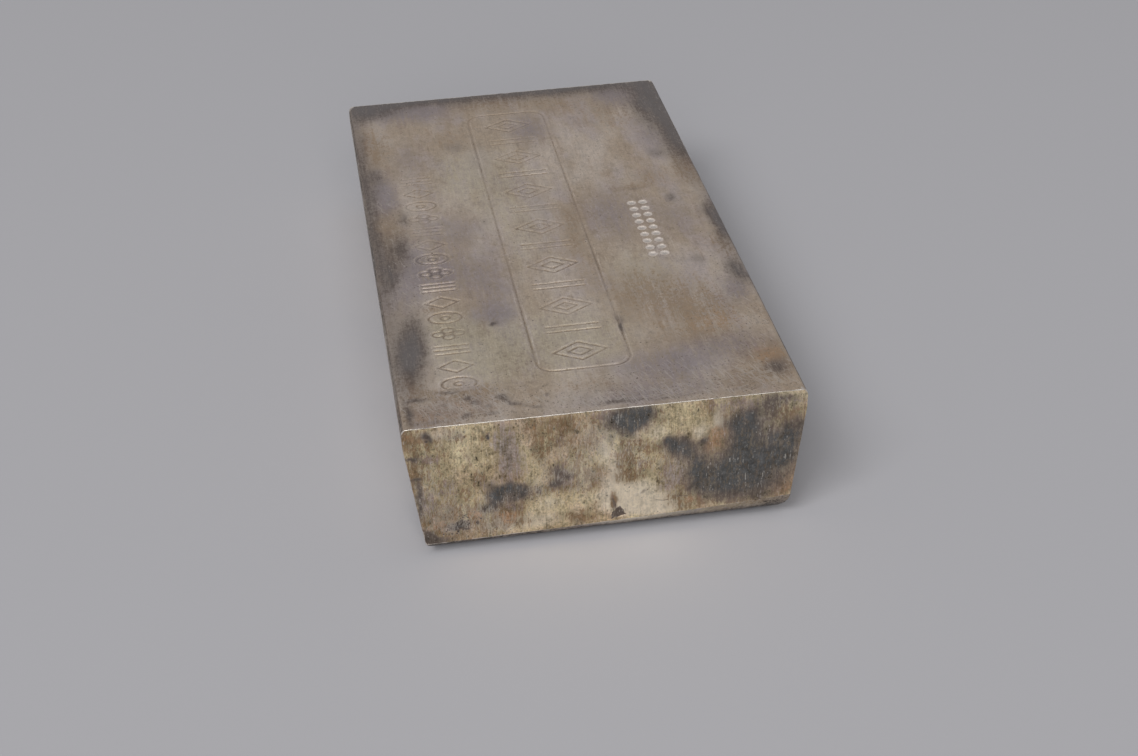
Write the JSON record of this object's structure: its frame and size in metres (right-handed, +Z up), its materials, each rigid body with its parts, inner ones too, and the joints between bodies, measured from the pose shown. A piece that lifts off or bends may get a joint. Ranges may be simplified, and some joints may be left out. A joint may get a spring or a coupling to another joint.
{
  "type": "metal ingot",
  "caption": "Cast silver ingot: a tapered rectangular bar with planed ends, flat to stand on and to stack on.",
  "frame": {"origin": "middle of the base, the smaller flat face that the ingot lies on", "axes": "+Z up through the poured face, +Y along the ingot's length, +X across its width"},
  "size_m": [0.0752, 0.144, 0.0287],
  "materials": {
    "silver": "satin"
  },
  "bodies": {
    "root": {"ingot": "silver"}
  },
  "joints": []
}
